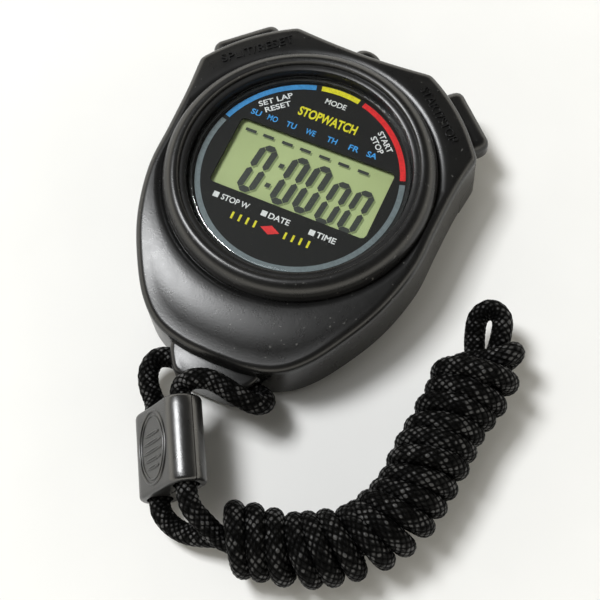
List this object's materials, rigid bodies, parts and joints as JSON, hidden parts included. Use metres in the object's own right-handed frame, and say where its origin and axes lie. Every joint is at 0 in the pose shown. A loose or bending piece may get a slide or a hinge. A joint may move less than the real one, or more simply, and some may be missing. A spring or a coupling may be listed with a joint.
{
  "type": "digital stopwatch",
  "caption": "Hand-held digital sports stopwatch with a round display, a top button, two shoulder buttons and a coiled neck cord with a slider.",
  "frame": {"origin": "centre of the back cover's flat face, under the centre of the round display", "axes": "+X to the right seen from the front, +Y up the dial towards the top button, +Z out of the back cover towards the display"},
  "size_m": [0.0835, 0.1097, 0.0188],
  "materials": {
    "case_black": "fine moulded grain, satin",
    "rubber_black": "matt",
    "lens_clear": "clear, polished",
    "dial_black": "flat, printed",
    "lcd_film": "satin film",
    "lcd_green": "grey-green, satin",
    "module_plastic": "moulded, satin",
    "board_green": "solder mask, satin",
    "chip_black": "epoxy, semi-gloss",
    "ceramic_tan": "fired ceramic, satin",
    "steel": "bright, satin",
    "spring_brass": "bright",
    "cord_black": "braided"
  },
  "bodies": {
    "case": {"front_case": "case_black", "back_cover": "case_black", "case_gasket": "rubber_black", "case_screw_1": "steel", "case_screw_2": "steel", "case_screw_3": "steel", "case_screw_4": "steel", "lens_seal": "rubber_black", "lens": "lens_clear", "dial_plate": "dial_black", "lcd_front_polarizer": "lcd_film", "lcd_glass": "lcd_green", "lcd_reflector": "lcd_film", "zebra_strip_upper": "rubber_black", "zebra_strip_lower": "rubber_black", "module_frame": "module_plastic", "circuit_board": "board_green", "chip_cover": "chip_black", "quartz_crystal": "steel", "capacitor_left": "ceramic_tan", "capacitor_right": "ceramic_tan", "buzzer_coil": "chip_black", "button_cell": "steel", "battery_clip": "steel", "battery_contact": "spring_brass", "buzzer_disc": "spring_brass", "buzzer_spring_inner": "spring_brass", "buzzer_spring_rim": "spring_brass", "board_screw_1": "steel", "board_screw_2": "steel", "board_screw_3": "steel", "start_stop_contact": "spring_brass", "split_reset_contact": "spring_brass", "mode_contact": "spring_brass", "cord_left_strand": "cord_black", "cord_right_strand": "cord_black", "hank_winding_lower": "cord_black", "hank_winding_upper": "cord_black", "hank_end_loop": "cord_black"},
    "start_stop": {"start_stop_button": "case_black", "start_stop_seal": "rubber_black"},
    "split_reset": {"split_reset_button": "case_black", "split_reset_seal": "rubber_black"},
    "mode": {"mode_button": "case_black", "mode_seal": "rubber_black"},
    "slider": {"slider_front": "case_black", "slider_back": "case_black"}
  },
  "joints": [
    {"name": "start_stop_press", "type": "slide", "parent": "case", "child": "start_stop", "axis": [-0.6756, -0.7373, 0], "range_m": [0, 0.0014], "stiffness_N_per_m": 700},
    {"name": "split_reset_press", "type": "slide", "parent": "case", "child": "split_reset", "axis": [0.6756, -0.7373, 0], "range_m": [0, 0.0014], "stiffness_N_per_m": 700},
    {"name": "mode_press", "type": "slide", "parent": "case", "child": "mode", "axis": [0, -1, 0], "range_m": [0, 0.0012], "stiffness_N_per_m": 700},
    {"name": "slider_slide", "type": "slide", "parent": "case", "child": "slider", "axis": [0.5, -0.866, 0], "range_m": [-0.0008, 0.0015]}
  ]
}
